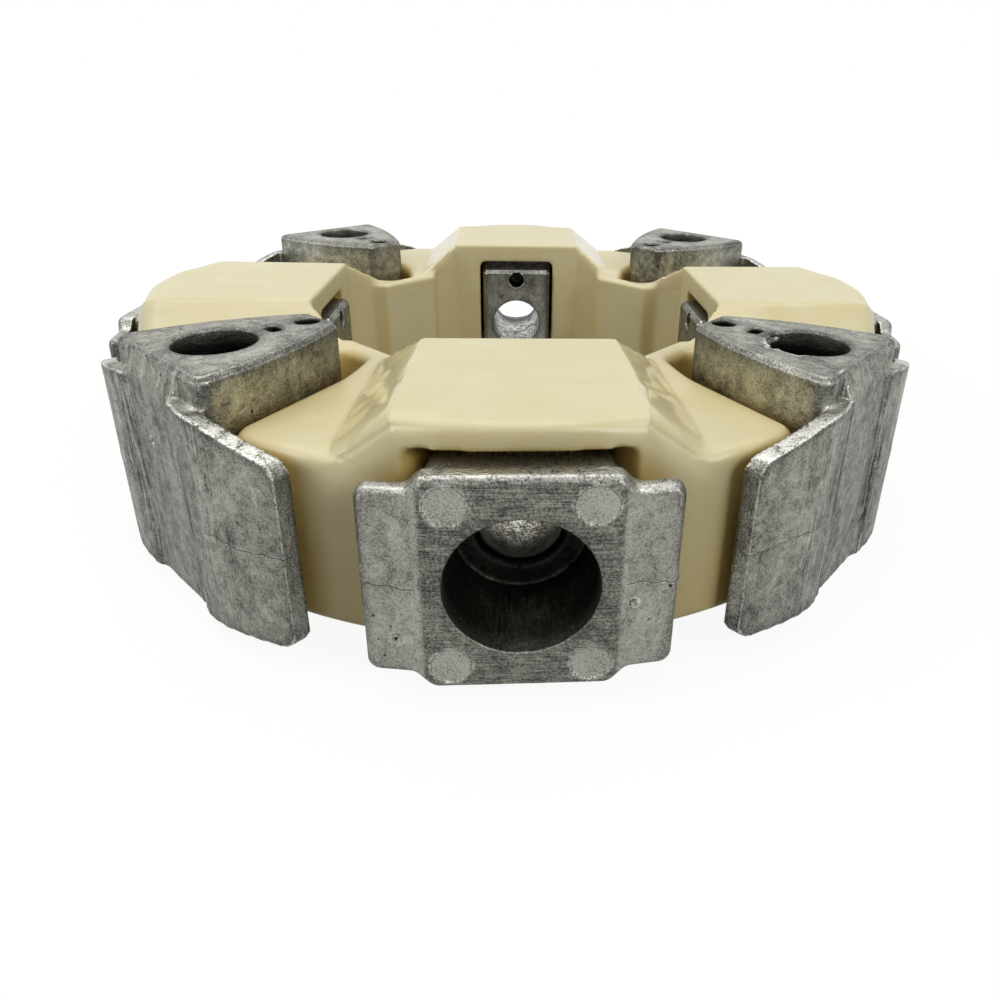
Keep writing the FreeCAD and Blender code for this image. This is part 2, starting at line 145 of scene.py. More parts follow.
def soft_noise(points: np.ndarray, size_mm: float, seed: int) -> np.ndarray:
    """Smooth noise in -1..1 whose lumps are about size_mm across.

    Args:
        points: places in millimetres, shape (n, 3).
        size_mm: size of a lump.
        seed: pattern number.

    Returns:
        One value per point.
    """
    scaled = points / size_mm
    base = np.floor(scaled).astype(np.int64)
    part = scaled - base
    ease = part * part * (3.0 - 2.0 * part)
    total = np.zeros(len(points))
    for dx in (0, 1):
        for dy in (0, 1):
            for dz in (0, 1):
                weight = (
                    (ease[:, 0] if dx else 1.0 - ease[:, 0])
                    * (ease[:, 1] if dy else 1.0 - ease[:, 1])
                    * (ease[:, 2] if dz else 1.0 - ease[:, 2])
                )
                total += weight * lattice_value(base + np.array([dx, dy, dz]), seed)
    return total * 2.0 - 1.0


def layered_noise(points: np.ndarray, size_mm: float, seed: int, layers: int = 3) -> np.ndarray:
    """Several sizes of soft noise added up, each half the size and strength of the last.

    Args:
        points: places in millimetres, shape (n, 3).
        size_mm: size of the largest lumps.
        seed: pattern number.
        layers: how many sizes.

    Returns:
        One value per point, about -1..1.
    """
    total = np.zeros(len(points))
    for layer in range(layers):
        total += soft_noise(points, size_mm / 2 ** layer, seed + layer) / 2 ** layer
    return total / LAYERS_TO_UNIT


def ramp(values: np.ndarray, low: float, high: float) -> np.ndarray:
    """Ease from 0 at low to 1 at high."""
    part = np.clip((values - low) / (high - low), 0.0, 1.0)
    return part * part * (3.0 - 2.0 * part)


def bell(values: np.ndarray, middle: float, width: float) -> np.ndarray:
    """Round hump of height 1 at middle, down to about a third at width from it."""
    return np.exp(-((values - middle) / width) ** 2)


# Meshes


@dataclass
class DenseCopy:
    """A fine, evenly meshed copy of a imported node, with edges eased as a mould leaves them."""

    node: str
    name: str
    voxel_mm: float
    smooth_passes: int
    face_limit: int
    azimuth: float = 0.0
    weld_mm: float = 0.002
    piece: Optional[bpy.types.Object] = None

    def build(self) -> bpy.types.Object:
        """Mesh the copy and link it into the scene.

        Returns:
            The new object, which still needs a material.
        """
        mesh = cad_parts[self.node].data.copy()
        self._weld(mesh)
        self.piece = bpy.data.objects.new(self.name, mesh)
        bpy.context.scene.collection.objects.link(self.piece)
        remesh = self.piece.modifiers.new("remesh", "REMESH")
        remesh.mode = "VOXEL"
        remesh.voxel_size = self.voxel_mm * MM
        remesh.use_smooth_shade = True
        smooth = self.piece.modifiers.new("smooth", "SMOOTH")
        smooth.factor = 0.5
        smooth.iterations = self.smooth_passes
        self._settle()
        return self.piece

    def thin(self) -> None:
        """Merge faces on the flatter stretches until the piece is within its limit."""
        triangles = sum(len(face.vertices) - 2 for face in self.piece.data.polygons)
        if triangles > self.face_limit:
            merge = self.piece.modifiers.new("merge", "DECIMATE")
            merge.ratio = self.face_limit / triangles
            self._settle()

    def _settle(self) -> None:
        """Turn the piece's modifiers into plain mesh."""
        seen = self.piece.evaluated_get(bpy.context.evaluated_depsgraph_get())
        mesh = bpy.data.meshes.new_from_object(seen)
        self.piece.modifiers.clear()
        mesh.name = self.name
        mesh.materials.clear()
        self.piece.data = mesh

    def _weld(self, mesh: bpy.types.Mesh) -> None:
        """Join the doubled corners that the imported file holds."""
        work = bmesh.new()
        work.from_mesh(mesh)
        bmesh.ops.remove_doubles(work, verts=work.verts, dist=self.weld_mm * MM)
        work.to_mesh(mesh)
        work.free()

    def points(self) -> np.ndarray:
        """Corners of the mesh in station coordinates, in millimetres."""
        mesh = self.piece.data
        flat = np.empty(len(mesh.vertices) * 3)
        mesh.vertices.foreach_get("co", flat)
        return (flat.reshape(-1, 3) / MM) @ self._turn().T

    def normals(self) -> np.ndarray:
        """Outward directions at the corners, in station coordinates."""
        mesh = self.piece.data
        flat = np.empty(len(mesh.vertices) * 3)
        mesh.vertex_normals.foreach_get("vector", flat)
        return flat.reshape(-1, 3) @ self._turn().T

    def _turn(self) -> np.ndarray:
        """Matrix from the frame's axes to the station's."""
        angle = math.radians(-self.azimuth)
        cos, sin = math.cos(angle), math.sin(angle)
        return np.array([[cos, -sin, 0.0], [sin, cos, 0.0], [0.0, 0.0, 1.0]])

    def write_points(self, local: np.ndarray) -> None:
        """Put changed station coordinates back into the mesh.

        Args:
            local: corners in station coordinates, in millimetres.
        """
        world = (local @ self._turn()) * MM
        self.piece.data.vertices.foreach_set("co", world.ravel())
        self.piece.data.update()

    def store(self, name: str, values: np.ndarray) -> None:
        """Keep a value or a direction per corner for the material to read.

        Args:
            name: attribute's name.
            values: shape (n,) or (n, 3).
        """
        kind = "FLOAT" if values.ndim == 1 else "FLOAT_VECTOR"
        slot = "value" if values.ndim == 1 else "vector"
        layer = self.piece.data.attributes.new(name, kind, "POINT")
        layer.data.foreach_set(slot, values.astype(np.float32).ravel())

    def _spreader(self) -> Callable[[np.ndarray], np.ndarray]:
        """Make the function that gives each corner its neighbours' mean.

        Returns:
            Function from one value or one place per corner to the means.
        """
        mesh = self.piece.data
        size = len(mesh.vertices)
        ends = np.empty(len(mesh.edges) * 2, dtype=np.int32)
        mesh.edges.foreach_get("vertices", ends)
        a, b = ends.reshape(-1, 2).T
        count = np.maximum(np.bincount(a, minlength=size) + np.bincount(b, minlength=size), 1)

        def spread(values: np.ndarray) -> np.ndarray:
            """Mean of the neighbours' values at each corner."""
            if values.ndim == 2:
                return np.stack([spread(column) for column in values.T], axis=1)
            total = np.bincount(a, weights=values[b], minlength=size)
            total += np.bincount(b, weights=values[a], minlength=size)
            return total / count

        return spread

    def ease(self, weights: np.ndarray, passes: int) -> None:
        """Even out the surface where the weights are above 0.

        Args:
            weights: share of each corner's move, 0 to 1.
            passes: how many times it is done.
        """
        here, spread = self.points(), self._spreader()
        for _ in range(passes):
            here += 0.5 * weights[:, None] * (spread(here) - here)
        self.write_points(here)

    def bends(self, passes: int) -> np.ndarray:
        """How sharply the surface bends at each corner: above 0 on edges, below 0 in nooks.

        Args:
            passes: how many times the value is spread to its neighbours.

        Returns:
            Millimetres that a corner stands proud of its neighbours.
        """
        here, spread = self.points(), self._spreader()
        proud = np.einsum("ij,ij->i", here - spread(here), self.normals())
        for _ in range(passes):
            proud = 0.5 * proud + 0.5 * spread(proud)
        return proud


# Materials


class Kind(Enum):
    """Kinds of node: Blender's type, fixed settings, sockets to fill and the output."""

    LESS = ("ShaderNodeMath", {"operation": "SUBTRACT"}, (0, 1), 0)
    TIMES = ("ShaderNodeMath", {"operation": "MULTIPLY"}, (0, 1), 0)
    TIMES_PLUS = ("ShaderNodeMath", {"operation": "MULTIPLY_ADD"}, (0, 1, 2), 0)
    LARGER = ("ShaderNodeMath", {"operation": "MAXIMUM"}, (0, 1), 0)
    UNSIGNED = ("ShaderNodeMath", {"operation": "ABSOLUTE"}, (0,), 0)
    STRETCH = ("ShaderNodeVectorMath", {"operation": "MULTIPLY"}, (0, 1), "Vector")
    LENGTH = ("ShaderNodeVectorMath", {"operation": "LENGTH"}, (0,), "Value")
    EASE = ("ShaderNodeMapRange", {"interpolation_type": "SMOOTHSTEP"},
            ("Value", "From Min", "From Max", "To Max"), 0)
    BLEND = ("ShaderNodeMix", {"data_type": "RGBA"}, (0, 6, 7), 2)
    TONES = ("ShaderNodeValToRGB", {}, ("Fac",), "Color")
    CHANNELS = ("ShaderNodeSeparateColor", {}, ("Color",), 0)
    AXES = ("ShaderNodeSeparateXYZ", {}, (0,), 0)
    KEPT = ("ShaderNodeAttribute", {}, (), "Fac")
    KEPT_PLACE = ("ShaderNodeAttribute", {}, (), "Vector")
    PLACE = ("ShaderNodeTexCoord", {}, (), "Object")
    RAYS = ("ShaderNodeLightPath", {}, (), "Is Camera Ray")
    OPEN_SKY = ("ShaderNodeAmbientOcclusion", {"samples": 3}, ("Distance",), "AO")
    NOISE = ("ShaderNodeTexNoise", {},
             ("Vector", "Scale", "Detail", "Roughness", "Distortion"), "Fac")
    SPOTS = ("ShaderNodeTexVoronoi", {"feature": "F1"}, ("Vector", "Scale", "Randomness"),
             "Distance")
    BUMP = ("ShaderNodeBump", {}, ("Strength", "Distance", "Height"), 0)
    SKIN = ("ShaderNodeBsdfPrincipled", {}, ("Base Color", "Roughness", "Normal"), 0)
    MATT = ("ShaderNodeBsdfDiffuse", {}, ("Color",), 0)
    GLOW = ("ShaderNodeEmission", {}, ("Color", "Strength"), 0)
    BOTH = ("ShaderNodeAddShader", {}, (0, 1), 0)
    SKY = ("ShaderNodeBackground", {}, ("Color", "Strength"), 0)


@dataclass(frozen=True)
class Grain:
    """A noise pattern, with how far it shows in a skin's tone and in its relief."""

    size_mm: Tuple[float, float, float]
    layers: float               # finer layers on top of the first
    rough: float = 0.6          # strength of the finer layers
    warp: float = 0.0           # how much the pattern is bent
    tone: float = 0.0
    relief: float = 0.0


class Shader:
    """The node tree of one material or of the world."""

    def __init__(self, name: str, world: Optional[bpy.types.World] = None) -> None:
        """Start an empty tree with its output.

        Args:
            name: the material's name.
            world: the world that the tree is for, where it isn't a material's.
        """
        self.owner = world or bpy.data.materials.new(name)
        self.owner.use_nodes = True
        self.tree = self.owner.node_tree
        self.tree.nodes.clear()
        self.output = self.tree.nodes.new(
            "ShaderNodeOutputWorld" if world else "ShaderNodeOutputMaterial")

    def add(self, kind: Kind, *values: Any, named: Optional[Dict[str, Any]] = None,
            **settings: Any) -> bpy.types.NodeSocket:
        """Add a node with its settings, values and links.

        Args:
            kind: what node it is.
            values: a value, or the socket that feeds it, for each socket that the kind lists.
            named: the same for further sockets, by name.
            settings: further properties of the node.

        Returns:
            The output that the kind lists, which knows its node.
        """
        blender_type, fixed, sockets, output = kind.value
        node = self.tree.nodes.new(blender_type)
        for key, value in {**fixed, **settings}.items():
            setattr(node, key, value)
        for key, value in {**dict(zip(sockets, values)), **(named or {})}.items():
            if isinstance(value, bpy.types.NodeSocket):
                self.tree.links.new(value, node.inputs[key])
            else:
                node.inputs[key].default_value = value
        return node.outputs[output]

    def pattern(self, place: bpy.types.NodeSocket, grain: Grain) -> bpy.types.NodeSocket:
        """Draw a noise pattern.

        Args:
            place: coordinates in millimetres.
            grain: the pattern.

        Returns:
            Socket with values round 0.5.
        """
        scaled = self.add(Kind.STRETCH, place, [1.0 / size for size in grain.size_mm])
        return self.add(Kind.NOISE, scaled, 1.0, grain.layers, grain.rough, grain.warp)

    def lean(self, total: Any, source: bpy.types.NodeSocket, weight: Any) -> bpy.types.NodeSocket:
        """Add a source's distance from 0.5, times a weight, to a running total."""
        return self.add(Kind.TIMES_PLUS, self.add(Kind.LESS, source, 0.5), weight, total)

    def finish(self, surface: bpy.types.NodeSocket) -> bpy.types.ID:
        """Link the surface to the output and hand over the material or world."""
        self.tree.links.new(surface, self.output.inputs["Surface"])
        return self.owner


@dataclass(frozen=True)
class DieCastAluminium:
    """Pressure die-cast aluminium, trimmed and shot-blasted, never machined or painted.

    Its skin is mottled mid grey, a little rough, with darker cold-flow patches, a thin dark
    parting line and small open pits. Its bright edges are partly rubbed wear and partly painted
    highlight, and its upward tops and the bend to the wings get a painted highlight; its holes,
    recess and chipped rim get painted shade, and the far lower wall of each counterbored hole
    gets painted glints. In a row of numbers, a mark starts to show at the first and is full at
    the second, and the third is its strength where that isn't 1. Reliefs are shares of bump_mm.
    """

    name: str = "die_cast_aluminium"
    greys: Tuple[Tuple[float, str], ...] = (
        (0.04, "#33332F"), (0.26, "#5C5C56"), (0.5, "#95958C"), (0.76, "#C0BFB6"),
        (0.96, "#E6E5DE"))
    # Colour of rubbed edges, of the painted highlight on edges and tops, and of painted glints
    rubbed_edge_and_highlight: str = "#EEEDE6"
    sand: str = "#BEBDB4"
    # Dark of oxide in the parting line and pits, and of the painted shade in holes and recesses
    oxide_and_shade: str = "#1B1A18"
    roughness: float = 0.4
    tone_polish: float = 0.3    # how much smoother bright metal is than dark
    highlight_polish: float = 0.14
    bump_mm: float = 0.085
    patch: Grain = Grain((12.0, 7.2, 16.8), 3.0, 0.62, 0.8, tone=0.7)
    mottle: Grain = Grain((2.2, 2.2, 2.2), 4.0, 0.62, 0.4, tone=0.8, relief=2.6)
    # Real blasting grit and brush lines are finer; these are drawn at a size that shows
    grit: Grain = Grain((0.4, 0.4, 0.4), 1.0, tone=0.6, relief=0.9)
    brushed: Grain = Grain((1.0, 5.0, 0.24), 1.0, tone=0.5, relief=1.1)
    flowed: Grain = Grain((7.0, 0.528, 11.0), 3.0, 0.62, tone=1.9, relief=3.2)
    brush_patch: float = -0.45  # what brushing takes from the patches and the mottle
    brush_mottle: float = -0.35
    brush_dulling: float = 0.12
    disc_edge_mm: Tuple[float, float] = (0.14, -0.1)
    disc_shake_mm: float = 1.2
    disc_relief: float = 3.0
    rim_darkening: Tuple[float, float, float] = (0.3, 0.62, 0.3)
    sand_grains: Tuple[float, float] = (0.36, 0.64)
    sand_least: float = 0.36    # how much sand hides the skin, and what full grains add
    sand_more: float = 0.5
    sand_relief: float = 1.1
    highlight_shake: float = 0.5
    highlight_patches: Tuple[float, float] = (0.28, 0.55)
    seam_mm: Tuple[float, float] = (0.17, 0.04)
    seam_breaks: Tuple[float, float, float] = (0.25, 0.45, 0.7)
    seam_relief: float = 1.4
    # Specks of the painted glint in the holes
    spark_shake: float = 1.2
    spark_grains: Tuple[float, float] = (0.47, 0.58)
    pit_cell_mm: float = 3.2    # the pits' numbers below are shares of this cell
    pit_shake: Grain = Grain((0.5, 0.5, 0.5), 1.0, tone=0.16)
    pit_least: float = 0.03     # radius of the smallest pits, and how much more others have
    pit_more: float = 0.1
    pit_edge: Tuple[float, float, float] = (0.02, -0.015, 0.9)
    pit_choice: Tuple[float, float] = (0.68, 0.7)
    pit_relief: float = 4.0

    def make(self) -> bpy.types.Material:
        """Build the material.

        Returns:
            Material that reads what CastClaws keeps on the mesh.
        """
        s = Shader(self.name)
        place = s.add(Kind.KEPT_PLACE, attribute_name="cast_place")
        kept = {name: s.add(Kind.KEPT, attribute_name=name) for name in CAST_MARKS}
        mottle, grit = s.pattern(place, self.mottle), s.pattern(place, self.grit)
        brushed, flowed = s.pattern(place, self.brushed), s.pattern(place, self.flowed)
        flow = kept["cast_flow"]
        disc = s.add(Kind.EASE, s.lean(kept["cast_disc"], mottle, self.disc_shake_mm),
                     *self.disc_edge_mm)
        brush = s.add(Kind.TIMES, kept["cast_brush"], s.add(Kind.LESS, 1.0, disc))
        # Sand of the wings and discs, with the painted highlight along the wings' bend
        sand = s.add(Kind.LARGER, kept["cast_sand_and_bend_highlight"], disc)
        # Tone
        tone = s.lean(0.5, s.pattern(place, self.patch),
                      s.add(Kind.TIMES_PLUS, brush, self.brush_patch, self.patch.tone))
        tone = s.lean(tone, mottle,
                      s.add(Kind.TIMES_PLUS, brush, self.brush_mottle, self.mottle.tone))
        tone = s.lean(tone, grit, self.grit.tone)
        tone = s.lean(tone, brushed, s.add(Kind.TIMES, brush, self.brushed.tone))
        tone = s.lean(tone, flowed, s.add(Kind.TIMES, flow, self.flowed.tone))
        tone = s.add(Kind.LESS, tone, s.add(Kind.TIMES, brush, self.brush_dulling))
        # A darker band round the edges, patchy with the mottle
        tone = s.add(Kind.LESS, tone, s.add(
            Kind.TIMES, kept["cast_rim"], s.add(Kind.EASE, mottle, *self.rim_darkening)))
        # Colour
        cover = s.add(Kind.TIMES_PLUS, s.add(Kind.EASE, grit, *self.sand_grains),
                      self.sand_more, self.sand_least)
        sanded = s.add(Kind.TIMES, sand, cover)
        # Bright edges and tops: partly rubbed wear, partly painted highlight
        wear_and_highlight = s.add(Kind.TIMES, kept["cast_edge_wear_and_highlight"], s.add(
            Kind.EASE, s.lean(mottle, grit, self.highlight_shake), *self.highlight_patches))
        pitted = self._pits(s, place)
        seam = s.add(Kind.TIMES, s.add(
            Kind.EASE, s.add(Kind.UNSIGNED, kept["cast_seam"]), *self.seam_mm),
            s.add(Kind.EASE, mottle, *self.seam_breaks))
        # Painted glint: bright specks on a hole's far lower wall, a painted reflection of the lit
        # hub
        spark = s.add(Kind.TIMES, kept["cast_glint"], s.add(
            Kind.EASE, s.lean(mottle, grit, self.spark_shake), *self.spark_grains))
        colour = self._grey(s, tone)
        # Over the grey: sand, bright edges, the parting line, painted shade in holes and recesses,
        # pits and painted glints
        for share, tint in ((sanded, self.sand), (wear_and_highlight, self.rubbed_edge_and_highlight), (seam, self.oxide_and_shade),
                            (kept["cast_shade"], self.oxide_and_shade), (pitted, self.oxide_and_shade),
                            (spark, self.rubbed_edge_and_highlight)):
            colour = s.add(Kind.BLEND, share, colour, linear(tint))
        # Gloss and relief
        rough = s.add(Kind.LESS, self.roughness, s.add(
            Kind.TIMES, s.add(Kind.LESS, tone, 0.5), self.tone_polish))
        rough = s.add(Kind.LESS, rough, s.add(
            Kind.TIMES, s.add(Kind.LARGER, wear_and_highlight, spark), self.highlight_polish))
        relief = s.lean(s.add(Kind.TIMES, mottle, self.mottle.relief), grit, s.add(
            Kind.TIMES_PLUS, sand, self.sand_relief, self.grit.relief))
        relief = s.lean(relief, brushed, s.add(Kind.TIMES, brush, self.brushed.relief))
        relief = s.lean(relief, flowed, s.add(Kind.TIMES, flow, self.flowed.relief))
        for cut, depth in ((pitted, self.pit_relief), (seam, self.seam_relief),
                           (disc, self.disc_relief)):
            relief = s.add(Kind.LESS, relief, s.add(Kind.TIMES, cut, depth))
        bump = s.add(Kind.BUMP, 1.0, self.bump_mm * MM, relief)
        return s.finish(s.add(Kind.SKIN, colour, rough, bump, named={"Metallic": 1.0}))

    def _grey(self, s: Shader, tone: bpy.types.NodeSocket) -> bpy.types.NodeSocket:
        """Grey of the skin at each tone, from cold-flow dark to bare bright."""
        scale = s.add(Kind.TONES, tone)
        stops = scale.node.color_ramp.elements
        first, *between, last = self.greys
        for stop, (position, tint) in zip(stops, (first, last)):
            stop.position, stop.color = position, linear(tint)
        for position, tint in between:
            stops.new(position).color = linear(tint)
        return scale

    def _pits(self, s: Shader, place: bpy.types.NodeSocket) -> bpy.types.NodeSocket:
        """Small open pits of uneven outline, one cell in three."""
        shake = s.pattern(place, self.pit_shake)
        spots = s.add(Kind.SPOTS, place, 1.0 / self.pit_cell_mm, 1.0)
        chance = s.add(Kind.CHANNELS, spots.node.outputs["Color"]).node.outputs
        gap = s.lean(spots, shake, self.pit_shake.tone)
        size = s.add(Kind.TIMES_PLUS, chance[1], self.pit_more, self.pit_least)
        inside = s.add(Kind.EASE, s.add(Kind.LESS, gap, size), *self.pit_edge)
        return s.add(Kind.TIMES, inside, s.add(Kind.EASE, chance[0], *self.pit_choice))


@dataclass(frozen=True)
class MouldedElastomer:
    """Injection-moulded polyester elastomer: cream, satin and slightly see-through at the skin.

    Light sinks in a little below the skin. Walls and nooks that other surfaces close in are
    painted a deeper, warmer cream, a painted shade. In a row of numbers, a mark starts to show
    at the first and is full at the second, and the third is its strength where that isn't 1.
    """

    name: str = "moulded_polyester_elastomer"
    cream: str = "#E8E1BA"
    warm: str = "#E5DCB0"
    speck: str = "#7C6A44"
    nook_shade_tint: str = "#D2AF52"
    nook_reach_mm: float = 42.0       # how far the painted shade looks for surfaces that close a wall in
    nook_shade_ease: Tuple[float, float, float] = (0.92, 0.2, 0.85)
    ior: float = 1.5
    roughness: float = 0.34
    polished: float = 0.09
    bump_mm: float = 0.12
    depth_mm: float = 3.0
    depth_share: float = 0.4
    depth_colour: Tuple[float, float, float] = (1.0, 0.72, 0.36)
    flow: Grain = Grain((16.0, 16.0, 16.0), 3.0, 0.55, 0.8)
    flow_tint: Tuple[float, float] = (0.35, 0.65)
    ripple: Grain = Grain((6.0, 6.0, 6.0), 1.0, 0.4)
    wave: Grain = Grain((11.2, 11.2, 16.0), 0.0, 0.4, 0.5, relief=3.6)
    # Faint lines that the mould leaves as the part is drawn out
    drawn: Grain = Grain((0.55, 0.55, 30.0), 1.0, 0.5, relief=0.12)
    drawn_tint: Tuple[float, float, float] = (0.52, 0.75, 0.22)
    speck_cell_mm: float = 7.0  # the specks' numbers below are shares of this cell
    speck_edge: Tuple[float, float, float] = (0.042, 0.018, 0.8)
    speck_choice: Tuple[float, float] = (0.55, 0.57)

    def make(self) -> bpy.types.Material:
        """Build the material.

        Returns:
            Material that reads mould_place and mould_gloss.
        """
        s = Shader(self.name)
        place = s.add(Kind.KEPT_PLACE, attribute_name="mould_place")
        gloss = s.add(Kind.KEPT, attribute_name="mould_gloss")
        flow, drawn = s.pattern(place, self.flow), s.pattern(place, self.drawn)
        spots = s.add(Kind.SPOTS, place, 1.0 / self.speck_cell_mm, 1.0)
        chance = s.add(Kind.CHANNELS, spots.node.outputs["Color"])
        speck = s.add(Kind.TIMES, s.add(Kind.EASE, spots, *self.speck_edge),
                      s.add(Kind.EASE, chance, *self.speck_choice))
        # Painted shade: walls and nooks that other surfaces close in get a deeper, warmer cream
        shade = s.add(Kind.EASE, s.add(Kind.OPEN_SKY, self.nook_reach_mm * MM), *self.nook_shade_ease)
        colour = linear(self.cream)
        for share, tint in ((s.add(Kind.EASE, flow, *self.flow_tint), self.warm),
                            (s.add(Kind.EASE, drawn, *self.drawn_tint), self.warm),
                            (speck, self.speck), (shade, self.nook_shade_tint)):
            colour = s.add(Kind.BLEND, share, colour, linear(tint))
        rough = s.add(Kind.TIMES_PLUS, gloss, self.polished - self.roughness, self.roughness)
        relief = s.lean(s.pattern(place, self.ripple), drawn, s.add(
            Kind.TIMES_PLUS, gloss, -self.drawn.relief, self.drawn.relief))
        relief = s.lean(relief, s.pattern(place, self.wave),
                        s.add(Kind.TIMES, gloss, self.wave.relief))
        bump = s.add(Kind.BUMP, 1.0, self.bump_mm * MM, relief)
        return s.finish(s.add(Kind.SKIN, colour, rough, bump, named={
            "IOR": self.ior, "Subsurface Weight": self.depth_share,
            "Subsurface Radius": self.depth_colour, "Subsurface Scale": self.depth_mm * MM}))


# Pieces


@dataclass
class FlexibleRing:
    """The moulded ring, with polished slopes at the ends of its lobes.

    Sizes are in millimetres in a station's coordinates. A pair is where a zone starts and
    where it is full, and a fade is where it starts to end and where it has ended.
    """

    voxel_mm: float = 0.62
    smooth_passes: int = 2
    polish_passes: int = 14
    face_limit: int = 192000
    arm_top: float = 42.5
    crest_half: float = 20.1    # half the length of a lobe's flat top
    crest_run: float = 10.5     # run of the slope from there to the arm
    slope_start: Tuple[float, float] = (19.0, 20.0)
    slope_fade: Tuple[float, float] = (33.0, 34.0)
    slope_tilt: Tuple[float, float] = (0.35, 0.5)
    slope_x: Tuple[float, float] = (30.0, 35.0)
    corner_sink: float = 1.5    # how much fuller a lobe's outer corners are rounded
    corner_reach: float = 3.2
    corner_start: float = 6.0
    corner_fade: Tuple[float, float] = (28.0, 36.0)

    def build(self, material: bpy.types.Material) -> bpy.types.Object:
        """Mesh and dress the ring.

        Args:
            material: the ring's elastomer.

        Returns:
            The ring.
        """
        copy = DenseCopy("flexible_ring", "ring_moulding", self.voxel_mm, self.smooth_passes,
                         self.face_limit)
        piece = copy.build()
        copy.ease(self._slopes(copy), self.polish_passes)
        self._round_corners(copy)
        copy.thin()
        copy.store("mould_place", copy.points())
        copy.store("mould_gloss", self._slopes(copy))
        dress(piece, material, "flexible_ring")
        return piece

    def _round_corners(self, copy: DenseCopy) -> None:
        """Round the rim's upper edge more at the ends of each lobe than in its middle.

        Args:
            copy: the ring's mesh.
        """
        rim, _, top = (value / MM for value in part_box(copy.node)[1])
        sink = np.zeros(len(copy.piece.data.vertices))
        for station in RADIAL_STATIONS:
            copy.azimuth = station.value
            here = copy.points()
            aside = np.abs(here[:, 1])
            down = np.clip((aside - self.crest_half) / self.crest_run, 0.0, 1.0)
            crest = top - (top - self.arm_top) * down
            gap = np.hypot(rim - np.hypot(here[:, 0], here[:, 1]), crest - here[:, 2])
            share = ramp(aside, self.corner_start, self.crest_half)
            share *= 1.0 - ramp(aside, *self.corner_fade)
            share *= bell(gap, 0.0, self.corner_reach) * (here[:, 0] > 0.0)
            sink = np.maximum(sink, self.corner_sink * share)
        copy.azimuth = 0.0
        copy.write_points(copy.points() - copy.normals() * sink[:, None])

    def _slopes(self, copy: DenseCopy) -> np.ndarray:
        """Where the lobes slope down to the arms, 0 to 1."""
        total = np.zeros(len(copy.piece.data.vertices))
        for station in RADIAL_STATIONS:
            copy.azimuth = station.value
            here, out = copy.points(), copy.normals()
            aside = np.abs(here[:, 1])
            near = ramp(aside, *self.slope_start)
            near *= 1.0 - ramp(aside, *self.slope_fade)
            near *= ramp(here[:, 2], self.arm_top - 0.5, self.arm_top)
            near *= ramp(np.abs(out[:, 1]), *self.slope_tilt) * ramp(here[:, 0], *self.slope_x)
            total = np.maximum(total, near)
        copy.azimuth = 0.0
        return total


@dataclass(frozen=True)
class Dent:
    """A shallow round dent in the outer face of one claw, in its station's coordinates."""

    station: Station
    aside: float
    level: float
    radius: float
    depth: float = 0.3
    floor: float = 0.35         # share of the radius at which the bowl starts to rise
    lip_at: float = 1.15        # share of the radius at which the raised lip runs
    lip_half: float = 0.35
    lip_share: float = 0.25     # height of the lip as a share of the depth

    def bowl(self, here: np.ndarray) -> np.ndarray:
        """Share of the dent's depth at each corner, below 0 on its lip."""
        away = np.hypot(here[:, 1] - self.aside, here[:, 2] - self.level)
        hollow = 1.0 - ramp(away, self.floor * self.radius, self.radius)
        return hollow - self.lip_share * bell(away, self.lip_at * self.radius, self.lip_half)


